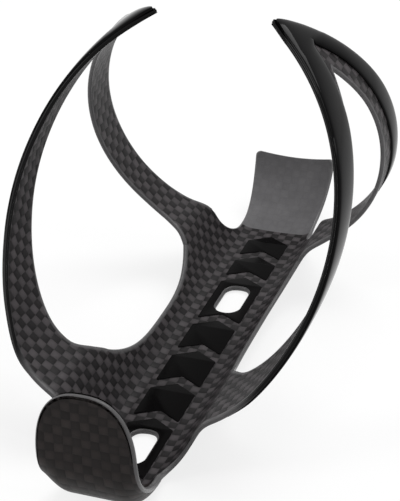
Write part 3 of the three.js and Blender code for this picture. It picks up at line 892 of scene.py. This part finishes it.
def mark_outlines():
    foot_flat = WALL_FOOT - FILLET / WALL_SLOPE
    toe_flat = WALL_FOOT_AT_TOE - FILLET_AT_TOE / WALL_SLOPE
    half = min(foot_flat, toe_flat) - MARK_MARGIN
    frame_end = SLOT_LENGTH / 2 + FRAME_REACH + MARK_GAP

    def chevron(start, end):
        return rounded([(-half, start), (0, start + MARK_RISE), (half, start), (half, end),
                        (0, end + MARK_RISE), (-half, end)], MARK_CORNER)

    def slot_frame(y):
        reach = SLOT_LENGTH / 2 + FRAME_REACH
        hole = stadium(SLOT_WIDTH + 2 * SLOT_MARGIN, SLOT_LENGTH + 2 * SLOT_MARGIN, y)
        return [chevron(y - reach, y + reach - MARK_RISE), hole]

    def row(start, end, count):
        pitch = (end - start + MARK_GAP) / count
        return [[chevron(start + i * pitch, start + (i + 1) * pitch - MARK_GAP)]
                for i in range(count)]

    return [
        slot_frame(SLOTS[0]),
        *row(SLOTS[0] + frame_end - MARK_RISE, SLOTS[1] - frame_end, 3),
        slot_frame(SLOTS[1]),
        *row(SLOTS[1] + frame_end - MARK_RISE, NECK_Y - LAST_MARK_TO_NECK, 2),
    ]


def inset(outline, distance):
    """The outline moved towards its inside; a hole runs the other way round."""
    points = np.array(outline)
    before = unit(points - np.roll(points, 1, axis=0))
    after = unit(np.roll(points, -1, axis=0) - points)
    side = unit(np.stack([-(before + after)[:, 1], (before + after)[:, 0]], -1))
    reach = distance / np.sqrt(np.maximum((1 + np.sum(before * after, 1)) / 2, 0.2))
    return points + side * reach[:, None]


def mark_mesh(name, outlines):
    """A flat raised mark with rounded top edges."""
    levels = [(0, FLOOR - MARK_SINK)]
    for turn in np.linspace(0, math.pi / 2, 4):
        levels.append((MARK_EDGE * (1 - math.cos(turn)),
                       FLOOR + MARK_HEIGHT - MARK_EDGE * (1 - math.sin(turn))))
    vertices = []
    for distance, z in levels:
        for outline in outlines:
            vertices += [(x * MM, y * MM, z * MM) for x, y in inset(outline, distance)]
    count = sum(len(outline) for outline in outlines)
    caps = []
    flat = [[Vector((x, y, 0)) for x, y in outline] for outline in outlines]
    for triangle in tessellate_polygon(flat):
        a, b, c = (Vector(vertices[i]) for i in triangle)
        turned = (b - a).cross(c - a).z < 0
        caps.append(tuple(triangle)[::-1 if turned else 1])
    top = (len(levels) - 1) * count
    faces = [tuple(i + top for i in cap) for cap in caps] + [cap[::-1] for cap in caps]
    start = 0
    for outline in outlines:
        for level in range(len(levels) - 1):
            base = level * count + start
            for i in range(len(outline)):
                p, q = base + i, base + (i + 1) % len(outline)
                faces.append((p, q, q + count, p + count))
        start += len(outline)
    mesh = bpy.data.meshes.new(name)
    mesh.from_pydata(vertices, [], faces)
    mesh.polygons.foreach_set("use_smooth", [len(face) == 4 for face in faces])
    mesh.set_sharp_from_angle(angle=math.radians(40))
    return mesh


def build_marks(gloss):
    for i, outlines in enumerate(mark_outlines(), 1):
        mesh = mark_mesh(f"floor_mark_{i}", outlines)
        mesh.materials.append(gloss)
        piece = bpy.data.objects.new(f"floor_mark_{i}", mesh)
        bpy.context.collection.objects.link(piece)
        settle(piece, f"spine_mark_{i}")


# ---- Stage, light and camera ----
AIM = (1.58, 7.64, 28.5)         # millimetres from the slots' middle, on the channel floor
CAMERA_DISTANCE = 0.3632
CAMERA_TURNS = (21.79, 30.36, 3.0)    # azimuth, elevation and roll, in degrees
LENS = 111.44
FLOOR_WHITE = 0.8                # share of the floor that shows as plain white


def light_path_white(m, surface, share):
    """Seen directly or in a reflection, part of the surface is plain white."""
    path = m.add("ShaderNodeLightPath")
    seen = m.math("MAXIMUM", path.outputs["Is Camera Ray"],
                  m.math("MAXIMUM", path.outputs["Is Glossy Ray"],
                         path.outputs["Is Transmission Ray"]))
    white = m.add("ShaderNodeEmission")
    mix = m.add("ShaderNodeMixShader")
    m.link(m.math("MULTIPLY", seen, share), mix.inputs[0])
    m.link(surface, mix.inputs[1])
    m.link(white.outputs[0], mix.inputs[2])
    return mix.outputs[0]


def build_floor():
    m = Nodes("studio_floor")
    m.set(Base_Color=(0.86, 0.86, 0.86, 1), Roughness=0.9, Specular_IOR_Level=0.1)
    output = next(n for n in m.tree.nodes if n.type == "OUTPUT_MATERIAL")
    m.link(light_path_white(m, m.shader.outputs[0], FLOOR_WHITE), output.inputs["Surface"])
    bpy.ops.mesh.primitive_circle_add(vertices=96, radius=6, fill_type="NGON")
    floor = bpy.context.object
    floor.name = "studio_floor"
    floor.location.z = cad_box[0][2] - 0.0002
    floor.data.materials.append(m.material)


def build_world():
    """Plain white where it is seen, and a softer light on matte surfaces."""
    world = bpy.data.worlds.new("studio")
    bpy.context.scene.world = world
    world.use_nodes = True
    tree = world.node_tree
    background = tree.nodes["Background"]
    path = tree.nodes.new("ShaderNodeLightPath")
    seen = tree.nodes.new("ShaderNodeMath")
    seen.operation = "MAXIMUM"
    either = tree.nodes.new("ShaderNodeMath")
    either.operation = "MAXIMUM"
    tree.links.new(path.outputs["Is Camera Ray"], seen.inputs[0])
    tree.links.new(path.outputs["Is Glossy Ray"], either.inputs[0])
    tree.links.new(path.outputs["Is Transmission Ray"], either.inputs[1])
    tree.links.new(either.outputs[0], seen.inputs[1])
    strength = tree.nodes.new("ShaderNodeMapRange")
    strength.inputs["To Min"].default_value = 0.45
    strength.inputs["To Max"].default_value = 1.0
    tree.links.new(seen.outputs[0], strength.inputs["Value"])
    tree.links.new(strength.outputs[0], background.inputs["Strength"])
    background.inputs["Color"].default_value = (1, 1, 1, 1)


def add_light(name, azimuth, elevation, distance, size, power):
    """A soft box that looks at the object's middle."""
    light = bpy.data.lights.new(name, "AREA")
    light.shape = "RECTANGLE"
    light.size, light.size_y = size
    light.energy = power
    lamp = bpy.data.objects.new(name, light)
    bpy.context.collection.objects.link(lamp)
    target = Vector((0, sum(SLOTS) / 2, AXIS_HEIGHT)) * MM
    a, e = math.radians(azimuth), math.radians(elevation)
    back = Vector((math.sin(a) * math.cos(e), -math.cos(a) * math.cos(e), math.sin(e)))
    lamp.location = target + back * distance
    lamp.rotation_euler = back.to_track_quat("Z", "Y").to_euler()
    lamp.visible_camera = False


def build_camera():
    azimuth, elevation, roll = (math.radians(turn) for turn in CAMERA_TURNS)
    back = Vector((math.sin(azimuth) * math.cos(elevation),
                   -math.cos(azimuth) * math.cos(elevation), math.sin(elevation)))
    right = Vector((math.cos(azimuth), math.sin(azimuth), 0))
    up = back.cross(right)
    turned_right = right * math.cos(roll) - up * math.sin(roll)
    turned_up = back.cross(turned_right)
    camera = bpy.data.objects.new("camera", bpy.data.cameras.new("camera"))
    bpy.context.collection.objects.link(camera)
    camera.data.lens = LENS
    camera.data.sensor_width = 36
    camera.data.clip_start = 0.01
    aim = Vector((AIM[0], sum(SLOTS) / 2 + AIM[1], FLOOR + AIM[2])) * MM
    rotation = Matrix((turned_right, turned_up, back)).transposed()
    camera.matrix_world = Matrix.Translation(aim + back * CAMERA_DISTANCE) @ rotation.to_4x4()
    bpy.context.scene.camera = camera


build_camera()
weave = weave_material(
    "matte_weave", warp=(0.0098, 0.0085, 0.0091), weft=(0.051, 0.0455, 0.048),
    roughness=0.42, relief=0.09, specular=0.1)
# painted shade: the foot's weave is a darker copy of the channel's carbon, for its underside that
# faces away from the light
foot_weave = weave_material(
    "foot_weave", warp=(0.0115, 0.0090, 0.0086), weft=(0.022, 0.0172, 0.0163),
    roughness=0.45, relief=0.05, specular=0.12)
# painted light: the tongue's weave is a much lighter, flatter copy of the channel's carbon, for the
# top tab that is lit more
tongue_weave = weave_material(
    "tongue_weave", warp=(0.094, 0.0915, 0.095), weft=(0.098, 0.0955, 0.099),
    roughness=0.6, relief=0.0, specular=0.15, depth=0.08)
gloss_shell = gloss_material("gloss_shell", LACQUER, roughness=0.1, specular=0.06)
gloss_mark = gloss_material("gloss_mark", (0.0016, 0.0014, 0.0015), roughness=0.2, specular=0.02)
build_laminate(weave, foot_weave, tongue_weave)
build_shells(gloss_shell)
build_marks(gloss_mark)
build_floor()
build_world()
add_light("key", 150, 60, 0.8, (0.5, 0.5), 5)
add_light("fill", 75, 35, 0.9, (0.012, 0.7), 1.0)
add_light("edge", -60, 35, 0.8, (0.25, 0.6), 2)

scene = bpy.context.scene
scene.view_settings.view_transform = "Standard"
